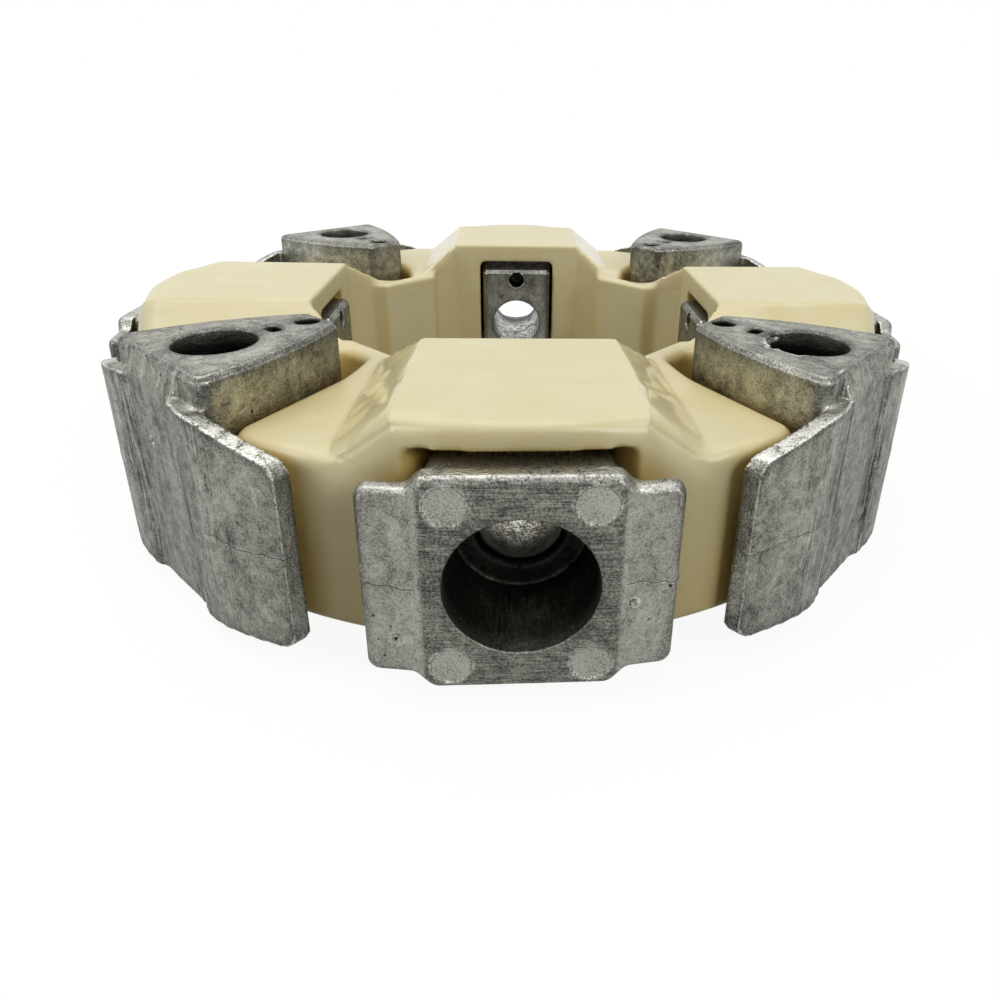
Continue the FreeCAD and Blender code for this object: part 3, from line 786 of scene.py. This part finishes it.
@dataclass
class CastClaws:
    """A set of like claws, each with a cast skin of its own.

    Sizes are in millimetres in a station's coordinates. A pair is where a zone starts and
    where it is full.
    """

    node_stem: str
    stations: Sequence[Station]
    voxel_mm: float = 0.36
    smooth_passes: int = 3
    face_limit: int = 98000
    mid_z: float = 24.25
    plate_x: float = 98.8
    dents: Tuple[Dent, ...] = ()
    dent_tilt: Tuple[float, float] = (0.3, 0.6)
    skin_mm: float = 0.05       # depth of the waves that the cast skin has everywhere
    skin_size: float = 7.0
    ridge_proud: float = 0.1    # the parting ridge
    ridge_half: float = 0.4
    hollow_size: float = 4.5    # slight hollows that the noise leaves here and there
    hollow_from: float = 0.55
    hollow_depth: float = 0.5
    edge_mm: Tuple[float, float] = (0.014, 0.05)
    rim_passes: int = 14
    rim_percent: float = 94.0
    rim_brushed: float = 0.75   # how much of the darker rim band brushing takes off
    # How far a face turns up before it gets the painted top highlight
    top_highlight_tilt: Tuple[float, float] = (0.55, 0.9)
    shift: Tuple[float, float, float] = (1.37, 0.83, 1.91)  # pattern's move per unit of seed
    pieces: List[bpy.types.Object] = field(default_factory=list)

    def build(self, material: bpy.types.Material) -> List[bpy.types.Object]:
        """Mesh and dress every claw of the set.

        Args:
            material: the cast aluminium.

        Returns:
            The claws.
        """
        for station in self.stations:
            node = f"{self.node_stem}_{station.label}"
            copy = DenseCopy(node, node + "_casting", self.voxel_mm, self.smooth_passes,
                             self.face_limit, station.value)
            piece = copy.build()
            seed = int(station.value)
            here, out = copy.points(), copy.normals()
            waves = layered_noise(here + seed, self.skin_size, seed + SKIN_SEED, 4)
            sink = self.skin_mm * (1.0 - waves)
            sink += self.relief(here, out, seed) + self._dented(here, out, station)
            copy.write_points(here - out * sink[:, None])
            copy.thin()
            self._mark(copy, seed)
            dress(piece, material, node)
            self.pieces.append(piece)
        return self.pieces

    def _dented(self, here: np.ndarray, out: np.ndarray, station: Station) -> np.ndarray:
        """Depth of this claw's dents at each corner, in millimetres."""
        outer = ramp(out[:, 0], *self.dent_tilt) * self.behind(here, 10.0, 9.0)
        depth = np.zeros(len(here))
        for dent in self.dents:
            if dent.station is station:
                depth += outer * dent.depth * dent.bowl(here)
        return depth

    def _mark(self, copy: DenseCopy, seed: int) -> None:
        """Keep on the mesh what the cast skin reads.

        Args:
            copy: the claw's mesh.
            seed: pattern number of this claw.
        """
        here, out = copy.points(), copy.normals()
        copy.store("cast_place", here + seed * np.array(self.shift))
        found = self.marks(here, out, seed)
        # Bright edges, partly rubbed wear and partly painted highlight, with the painted highlight
        # on upward tops
        edge = ramp(copy.bends(1), *self.edge_mm) * (1.0 - found["kept_dull"])
        found["cast_edge_wear_and_highlight"] = np.maximum(edge, found["painted_top_highlight"])
        # A darker band spread round the edges
        around = np.maximum(copy.bends(self.rim_passes), 0.0)
        rim_band = ramp(around, 0.0, np.percentile(around, self.rim_percent))
        found["cast_rim"] = rim_band * (1.0 - self.rim_brushed * found.get("cast_brush", 0.0))
        for name, plain in CAST_MARKS.items():
            copy.store(name, found.get(name, np.full(len(here), plain)))

    def behind(self, here: np.ndarray, start: float, full: float) -> np.ndarray:
        """Ease from 0 at start to 1 at full, both in millimetres inward of the plate's face."""
        return ramp(here[:, 0], self.plate_x - start, self.plate_x - full)

    def seam_gap(self, here: np.ndarray, seed: int) -> np.ndarray:
        """Height above the wavy parting line, in millimetres."""
        wave = 0.35 * np.sin(here[:, 1] * 0.45 + seed) + 0.16 * np.sin(here[:, 1] * 1.7 + 2 * seed)
        return here[:, 2] - self.mid_z - wave

    def ridge(self, here: np.ndarray, seed: int) -> np.ndarray:
        """The low ridge along the parting line, 0 to 1."""
        return bell(self.seam_gap(here, seed), 0.0, self.ridge_half)

    def hollows(self, here: np.ndarray, seed: int) -> np.ndarray:
        """The slight hollows of the skin, above 0 where there is one."""
        lumps = layered_noise(here, self.hollow_size, seed + HOLLOW_SEED, 2)
        return np.maximum(lumps - self.hollow_from, 0.0)

    def relief(self, here: np.ndarray, out: np.ndarray, seed: int) -> np.ndarray:
        """How far the skin sinks at each corner, in millimetres.

        Args:
            here: corners in station coordinates.
            out: outward directions.
            seed: pattern number of this claw.

        Returns:
            One depth per corner, below 0 where the skin stands proud.
        """
        raise NotImplementedError

    def marks(self, here: np.ndarray, out: np.ndarray, seed: int) -> Dict[str, np.ndarray]:
        """What the material reads at each corner.

        Args:
            here: corners in station coordinates.
            out: outward directions.
            seed: pattern number of this claw.

        Returns:
            Names of CAST_MARKS to one value per corner, with kept_dull, which takes from the
            bright edges, and the painted highlight on upward tops, which adds to them. The bright
            edges are partly rubbed wear and partly painted highlight.
        """
        raise NotImplementedError


@dataclass
class RadialClaws(CastClaws):
    """Claws bolted on from the side: counterbored block and plate with two wings."""

    front_half: float = 16.0
    wing_tip: float = 26.0
    facing_tilt: Tuple[float, float] = (0.6, 0.85)
    front_tilt: Tuple[float, float] = (0.7, 0.9)
    top_tilt: Tuple[float, float] = (0.8, 0.95)
    disc_aside: float = 11.7    # the four round ejector marks
    disc_rise: float = 15.3
    disc_r: float = 3.4
    disc_depth: float = 0.22
    torn_size: float = 1.6      # torn flash on the wings' tips
    torn_proud: float = 0.35
    torn_rise: float = 1.5
    torn_reach: float = 7.0
    bore_r: float = 12.8
    bore_floor_x: float = 80.5
    hole_r: float = 7.75
    pin_level: float = 39.2
    pin_r: float = 2.5
    pin_depth: float = 6.5
    block_end_x: float = 47.8
    rim_half: Tuple[float, float] = (0.4, 1.2)  # band on the holes' rims that stays dull
    # Strengths of the painted shade in the counterbore, pin hole and hole
    bore_shade: float = 0.93
    pin_shade: float = 0.9
    hole_shade: float = 0.9
    wing_sand: float = 0.45
    # Share of the painted highlight along the bend to the wings
    bend_highlight_share: float = 0.5
    top_flow: float = 0.5
    top_highlight_share: float = 0.4

    def _disc_gap(self, here: np.ndarray) -> np.ndarray:
        """Distance outside the nearest of the four ejector marks, in millimetres."""
        aside = np.abs(here[:, 1]) - self.disc_aside
        rise = np.abs(here[:, 2] - self.mid_z) - self.disc_rise
        return np.hypot(aside, rise) - self.disc_r

    def _pin_hole(self, here: np.ndarray) -> np.ndarray:
        """The blind pin hole in the block's inner end, 0 to 1."""
        x = here[:, 0]
        gap = np.hypot(here[:, 1], here[:, 2] - self.pin_level) - self.pin_r
        inside = (1.0 - ramp(gap, 0.0, 0.4)) * (x < self.block_end_x + self.pin_depth)
        return inside * ramp(x, self.block_end_x + 0.4, self.block_end_x + 2.5)

    def relief(self, here: np.ndarray, out: np.ndarray, seed: int) -> np.ndarray:
        """Ejector marks, parting ridge and a torn edge of flash on the wings."""
        aside = np.abs(here[:, 1])
        front = ramp(out[:, 0], *self.front_tilt) * self.behind(here, 1.6, 1.2)
        sink = front * self.disc_depth * (1.0 - ramp(self._disc_gap(here), -0.25, 0.1))
        outer = self.behind(here, 3.6, 3.0)
        wing = outer * ramp(aside, self.front_half, self.front_half + 1.0)
        sink -= wing * self.ridge_proud * self.ridge(here, seed)
        tip = outer * ramp(aside, self.wing_tip - 0.8, self.wing_tip - 0.3)
        torn = np.maximum(layered_noise(here, self.torn_size, seed + TORN_SEED, 3), 0.0)
        reach = bell(here[:, 2] - self.mid_z, self.torn_rise, self.torn_reach)
        sink -= tip * reach * torn * self.torn_proud
        return sink + wing * self.hollows(here, seed) * self.hollow_depth

    def marks(self, here: np.ndarray, out: np.ndarray, seed: int) -> Dict[str, np.ndarray]:
        """Brushed middle, sandy wings and discs, painted shade in holes, painted highlight and
        glint.
        """
        x, y, z = here.T
        aside, gap = np.abs(y), np.hypot(y, z - self.mid_z)
        facing = ramp(out[:, 0], *self.facing_tilt) * self.behind(here, 3.2, 2.8)
        centre = 1.0 - ramp(aside, self.front_half - 0.2, self.front_half + 0.5)
        bore = 1.0 - ramp(gap, self.bore_r - 0.1, self.bore_r + 0.35)
        bore *= ramp(self.plate_x - x, 0.2, 5.0) * (x > self.bore_floor_x - 1.5)
        hole = 1.0 - ramp(gap, self.hole_r + 0.1, self.hole_r + 0.9)
        hole *= (x > self.block_end_x + 0.6) * (x < self.bore_floor_x)
        # The hole's far lower wall, where a painted glint is drawn
        glint = hole * ramp(self.bore_floor_x - x, 4.0, 13.0)
        # Painted shade inside the counterbore, pin hole and hole, less where the glint is
        dark = np.maximum(self.bore_shade * bore, self.pin_shade * self._pin_hole(here))
        dark += self.hole_shade * hole * (1.0 - 0.9 * glint)
        # Painted highlight along the bend from the middle to the wings, drawn in the sand's colour
        bend_highlight = bell(aside - self.front_half, 0.7, 0.35)
        wings = facing * ((1.0 - centre) * self.wing_sand + self.bend_highlight_share * bend_highlight)
        top = ramp(out[:, 2], *self.top_tilt) * (gap > self.bore_r)
        top *= (x > self.block_end_x + 3.0) * (x < self.plate_x - 3.0)
        rims = np.maximum(1.0 - ramp(np.abs(gap - self.bore_r), *self.rim_half),
                          1.0 - ramp(np.abs(gap - self.hole_r), *self.rim_half))
        # Painted highlight on the upward tops near the plate
        wear_and_highlight = self.top_highlight_share * ramp(out[:, 2], *self.top_highlight_tilt) * self.behind(here, 4.2, 3.8)
        seam = (x > self.plate_x - 4.2) & (aside > self.front_half + 0.8)
        return {
            "cast_shade": np.clip(dark, 0, 1),
            "cast_sand_and_bend_highlight": np.clip(wings, 0, 1),
            "cast_brush": facing * centre,
            "cast_flow": self.top_flow * top,
            "cast_glint": glint,
            "kept_dull": rims,
            "painted_top_highlight": wear_and_highlight * (z > self.mid_z),
            "cast_seam": np.where(seam, self.seam_gap(here, seed), FAR),
            "cast_disc": np.where(facing > 0.5, self._disc_gap(here), FAR),
        }


@dataclass
class AxialClaws(CastClaws):
    """Claws bolted on along the axis: wedge and curved plate with a recess down its middle."""

    ridge_proud: float = 0.09
    hollow_from: float = 0.5
    hollow_depth: float = 0.45
    height: float = 52.5
    wing_tip: float = 36.0
    recess_half: float = 8.5
    outside: Tuple[float, float] = (93.6, 94.4)     # past the ring's rim
    facing_tilt: Tuple[float, float] = (0.35, 0.7)
    relief_tilt: Tuple[float, float] = (0.4, 0.7)
    bolt_x: float = 82.5
    bolt_r: float = 7.75
    pin_x: float = 63.0
    pin_r: float = 2.5
    slot_x: float = 70.6
    slot_half: Tuple[float, float] = (1.25, 2.25)
    small_depth: float = 11.0   # of the pin hole and the slot
    wide_ridge: float = 1.9     # flow ridges down the plate
    fine_ridge: float = 0.8
    wide_stretch: float = 0.07
    fine_stretch: float = 0.05
    ridge_depth: float = 0.05
    fold_depth: float = 0.3     # how much deeper the wide ridges are on the folds
    fold_run: float = 2.5
    fold_half: float = 2.6
    chipped: Station = Station.FRONT_RIGHT
    chip_deg: float = -135.0    # side of the hole's rim, in the station's plane
    chip_depth: float = 0.7
    chip_reach: float = 1.1
    chip_ragged: float = 0.9
    chip_size: float = 1.4
    # Strengths of the painted shade in the holes, down the recess and in the chipped rim
    hole_shade: float = 0.93
    recess_shade: float = 0.16
    chip_shade: float = 0.75
    wing_sand: float = 0.3
    top_highlight_share: float = 0.5

    def relief(self, here: np.ndarray, out: np.ndarray, seed: int) -> np.ndarray:
        """Flow ridges down the plate, parting ridge and small dents."""
        outer = ramp(here[:, 0], *self.outside) * ramp(out[:, 0], *self.relief_tilt)
        middle = 1.0 - ramp(np.abs(here[:, 1]), 11.0, 17.0)
        wide = soft_noise(here * [0.0, 1.0, self.wide_stretch], self.wide_ridge, seed + RIDGE_SEED)
        fine = soft_noise(here * [0.0, 1.0, self.fine_stretch], self.fine_ridge,
                          seed + FINE_RIDGE_SEED)
        fold = self._fold(here)
        ridges = (self.ridge_depth + self.fold_depth * fold) * wide + self.ridge_depth * fine
        sink = outer * middle * (ridges + 0.06 + 0.15 * fold)
        sink -= self.behind(here, 4.5, 3.5) * self.ridge_proud * self.ridge(here, seed)
        sink += outer * self.hollows(here, seed) * self.hollow_depth
        return sink + self.chip_depth * self._chips(here, seed)

    def _chips(self, here: np.ndarray, seed: int) -> np.ndarray:
        """Where the rim of one claw's bolt hole is chipped, 0 to 1."""
        if seed != int(self.chipped.value):
            return np.zeros(len(here))
        across, aside, level = (here - [self.bolt_x, 0.0, 0.0]).T
        toward = np.cos(np.arctan2(aside, across) - math.radians(self.chip_deg))
        ragged = self.chip_reach + self.chip_ragged * soft_noise(here, self.chip_size, CHIP_SEED)
        near = 1.0 - ramp(np.hypot(across, aside) - self.bolt_r - ragged, -0.4, 0.1)
        return near * ramp(toward, 0.45, 0.6) * ramp(level, self.height - 1.6, self.height - 1.1)

    def _fold(self, here: np.ndarray) -> np.ndarray:
        """Strips where the recess turns out to the wings, 0 to 1."""
        return bell(np.abs(here[:, 1]) - self.recess_half, self.fold_run, self.fold_half)

    def marks(self, here: np.ndarray, out: np.ndarray, seed: int) -> Dict[str, np.ndarray]:
        """Flow lines, painted shade in holes and recess, painted top highlight and the parting
        line.
        """
        x, y, z = here.T
        aside, depth = np.abs(y), np.minimum(z, self.height - z)
        bolt_gap = np.hypot(x - self.bolt_x, y)
        bolt = 1.0 - ramp(bolt_gap, self.bolt_r + 0.1, self.bolt_r + 0.6)
        half_x, half_y = self.slot_half
        small = np.minimum(np.hypot(x - self.pin_x, y) - self.pin_r,
                           np.maximum(np.abs(x - self.slot_x) - half_x, aside - half_y))
        small = (1.0 - ramp(small, 0.0, 0.4)) * (z > self.height - self.small_depth)
        # Painted shade inside the bolt hole, pin hole and slot
        dark = bolt * ramp(depth, 0.3, 4.0) + small * ramp(depth, 0.15, 1.0)
        facing = ramp(x, *self.outside) * ramp(out[:, 0], *self.facing_tilt)
        middle = 1.0 - ramp(aside, 15.0, 21.0)
        lines = ramp(aside, 15.0, 18.0) * (1.0 - ramp(aside, 22.0, 28.0))
        crease = bell(aside - self.wing_tip, -3.5, 1.0)
        flow = 0.25 * middle + 0.75 * self._fold(here) + 0.4 * lines + 0.7 * crease
        rims = 1.0 - ramp(bolt_gap - self.bolt_r, 0.5, 1.3)
        near = np.maximum(np.abs(x - 0.5 * (self.pin_x + self.slot_x)) - 8.0, aside - 4.0)
        near = (1.0 - ramp(near, 0.0, 0.5)) * (z > self.height - 3.0)
        # Painted highlight on the upward tops near the plate
        wear_and_highlight = self.top_highlight_share * ramp(out[:, 2], *self.top_highlight_tilt) * self.behind(here, 14.0, 12.0)
        seam = (x > self.plate_x - 9.0) & (aside > 2.0 * self.recess_half)
        return {
            # Painted shade in the holes, down the recess and in the chipped rim
            "cast_shade": np.clip(self.hole_shade * dark + self.recess_shade * facing * middle
                                 + self.chip_shade * self._chips(here, seed), 0, 1),
            "cast_flow": facing * np.clip(flow, 0, 1),
            "cast_sand_and_bend_highlight": self.wing_sand * facing * (1.0 - middle) * (1.0 - lines),
            "kept_dull": np.maximum(rims, near),
            "painted_top_highlight": wear_and_highlight * ramp(aside, 17.5, 19.0) * (z > self.mid_z),
            "cast_seam": np.where(seam, self.seam_gap(here, seed), FAR),
        }


RADIAL_DENTS = (
    Dent(Station.FRONT, 21.6, 27.4, 1.9),
    Dent(Station.FRONT, 18.4, 20.6, 0.9, 0.4),
    Dent(Station.FRONT, -20.5, 14.0, 1.3),
    Dent(Station.LEFT, -19.5, 30.5, 1.5),
    Dent(Station.BACK, 20.8, 17.5, 1.4),
    Dent(Station.RIGHT, -21.0, 21.0, 1.6),
)
AXIAL_DENTS = (
    Dent(Station.FRONT_LEFT, 25.5, 12.5, 1.6),
    Dent(Station.FRONT_LEFT, -2.5, 35.0, 0.9, 0.45),
    Dent(Station.FRONT_RIGHT, -27.0, 31.0, 1.7, 0.25),
    Dent(Station.FRONT_RIGHT, -22.5, 13.0, 2.1, 0.25),
    Dent(Station.BACK_RIGHT, 24.0, 15.0, 1.5),
    Dent(Station.BACK_LEFT, -26.0, 33.0, 1.6),
)


def dress(piece: bpy.types.Object, material: bpy.types.Material, node: str) -> None:
    """Give a piece its material and tie it to the frame.

    Args:
        piece: the new piece.
        material: its finish.
        node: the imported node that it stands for.
    """
    piece.data.materials.append(material)
    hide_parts(node)
    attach(piece, "root")
    LOG.info("%s: %d faces", piece.name, len(piece.data.polygons))


# Studio


@dataclass(frozen=True)
class Softbox:
    """A square soft lamp."""

    name: str
    place: Tuple[float, float, float]
    side: float
    power: float
    target: Tuple[float, float, float] = (0.0, 0.0, 0.02)

    def build(self) -> None:
        """Hang the lamp and turn it to its target."""
        data = bpy.data.lights.new(self.name, "AREA")
        data.shape = "SQUARE"
        data.size = self.side
        data.energy = self.power
        lamp = bpy.data.objects.new(self.name, data)
        bpy.context.scene.collection.objects.link(lamp)
        lamp.location = self.place
        aim = Vector(self.target) - Vector(self.place)
        lamp.rotation_euler = aim.to_track_quat("-Z", "Y").to_euler()


@dataclass
class Studio:
    """White floor and walls, with an unlit room on the camera's side, soft lamps and camera."""

    camera_place: Tuple[float, float, float] = (-0.00154, -0.19405, 0.09741)
    yaw_deg: float = 3.91
    pitch_deg: float = -22.17
    roll_deg: float = 1.42
    lens_mm: float = 26.097
    sensor_mm: float = 36.0
    shift: Tuple[float, float] = (-0.0579, -0.1088)
    white: str = "#FFFFFF"
    floor_tone: str = "#5A5A5A"
    fill_tone: str = "#FFF6DE"
    fill: float = 0.17
    dim_side: float = 0.42      # level of the unlit room in gloss
    dim_rise: float = 0.7       # how much of it is lifted by height
    dim_fade: Tuple[float, float] = (-0.75, 0.1)
    floor_side: float = 6.0
    seen_radii: Tuple[float, float] = (0.12, 0.7)       # metres from the part's middle
    # What gloss sees of the floor is darker near the part, a painted shadow
    seen_level: Tuple[float, float] = (0.08, 0.92)      # rise outward, and level at the part
    mirrored_radii: Tuple[float, float] = (0.06, 0.5)
    mirrored_level: Tuple[float, float] = (0.4, 0.6)
    lamps: Tuple[Softbox, ...] = (
        Softbox("overhead_softbox", (-0.10, 0.05, 0.75), 0.8, 3.3),
        Softbox("left_softbox", (-0.75, -0.25, 0.50), 0.4, 1.6),
        Softbox("right_softbox", (0.50, -0.60, 0.56), 0.35, 2.65),
    )

    def build(self) -> None:
        """Make the floor, world, lamps and camera."""
        self._floor()
        self._world()
        for lamp in self.lamps:
            lamp.build()
        self._camera()

    def _floor(self) -> None:
        """A wide floor that the camera sees as white, with the part's shadow on it; gloss sees it
        darker near the part, a painted shadow.
        """
        bpy.ops.mesh.primitive_plane_add(size=self.floor_side, location=(0.0, 0.0, 0.0))
        floor = bpy.context.object
        floor.name = "studio_floor"
        s = Shader("studio_floor")
        rays = s.add(Kind.RAYS).node.outputs
        away = s.add(Kind.LENGTH, s.add(Kind.PLACE))
        seen = s.add(Kind.TIMES_PLUS, s.add(Kind.EASE, away, *self.seen_radii), *self.seen_level)
        mirrored = s.add(Kind.TIMES_PLUS, s.add(Kind.EASE, away, *self.mirrored_radii),
                         *self.mirrored_level)
        level = s.add(Kind.LARGER, s.add(Kind.TIMES, rays["Is Camera Ray"], seen),
                      s.add(Kind.TIMES, rays["Is Glossy Ray"], mirrored))
        glow = s.add(Kind.GLOW, linear(self.white), level)
        matt = s.add(Kind.MATT, linear(self.floor_tone))
        floor.data.materials.append(s.finish(s.add(Kind.BOTH, matt, glow)))

    def _world(self) -> None:
        """White for the camera, white with a dim front for gloss, and a plain warm fill."""
        world = bpy.data.worlds.new("studio")
        bpy.context.scene.world = world
        s = Shader("studio_walls", world)
        rays = s.add(Kind.RAYS).node.outputs
        side = s.add(Kind.AXES, s.add(Kind.PLACE).node.outputs["Generated"]).node.outputs
        behind = s.add(Kind.TIMES_PLUS, side[2], self.dim_rise, side[1])
        walls = s.add(Kind.TIMES_PLUS, s.add(Kind.EASE, behind, *self.dim_fade),
                      1.0 - self.dim_side, self.dim_side)
        seen = s.add(Kind.LARGER, rays["Is Camera Ray"], rays["Is Glossy Ray"])
        level = s.add(Kind.LARGER, rays["Is Camera Ray"],
                      s.add(Kind.TIMES, rays["Is Glossy Ray"], walls))
        unseen = s.add(Kind.LESS, 1.0, seen)
        level = s.add(Kind.LARGER, level, s.add(Kind.TIMES, unseen, self.fill))
        tint = s.add(Kind.BLEND, seen, linear(self.fill_tone), linear(self.white))
        s.finish(s.add(Kind.SKY, tint, level))

    def _camera(self) -> None:
        """Place the camera as the photograph's."""
        yaw, pitch, roll = (math.radians(a) for a in (self.yaw_deg, self.pitch_deg, self.roll_deg))
        ahead = Vector((math.sin(yaw) * math.cos(pitch), math.cos(yaw) * math.cos(pitch),
                        math.sin(pitch)))
        level = Vector((math.cos(yaw), -math.sin(yaw), 0.0))
        above = level.cross(ahead)
        right = level * math.cos(roll) + above * math.sin(roll)
        up = above * math.cos(roll) - level * math.sin(roll)
        data = bpy.data.cameras.new("camera")
        data.lens = self.lens_mm
        data.sensor_width = self.sensor_mm
        data.shift_x, data.shift_y = self.shift
        data.clip_start = 0.01
        camera = bpy.data.objects.new("camera", data)
        turn = Matrix((right, up, -ahead)).transposed()
        camera.matrix_world = Matrix.Translation(self.camera_place) @ turn.to_4x4()
        bpy.context.scene.collection.objects.link(camera)
        bpy.context.scene.camera = camera
        bpy.context.scene.view_settings.view_transform = "Standard"


def main() -> None:
    """Build the part's pieces and the studio in order."""
    logging.basicConfig(level=logging.INFO, format="%(name)s: %(message)s")
    aluminium = DieCastAluminium().make()
    elastomer = MouldedElastomer().make()
    FlexibleRing().build(elastomer)
    RadialClaws("radial_claw", RADIAL_STATIONS, dents=RADIAL_DENTS).build(aluminium)
    AxialClaws("axial_claw", AXIAL_STATIONS, dents=AXIAL_DENTS).build(aluminium)
    Studio().build()


if __name__ == "__main__":
    main()
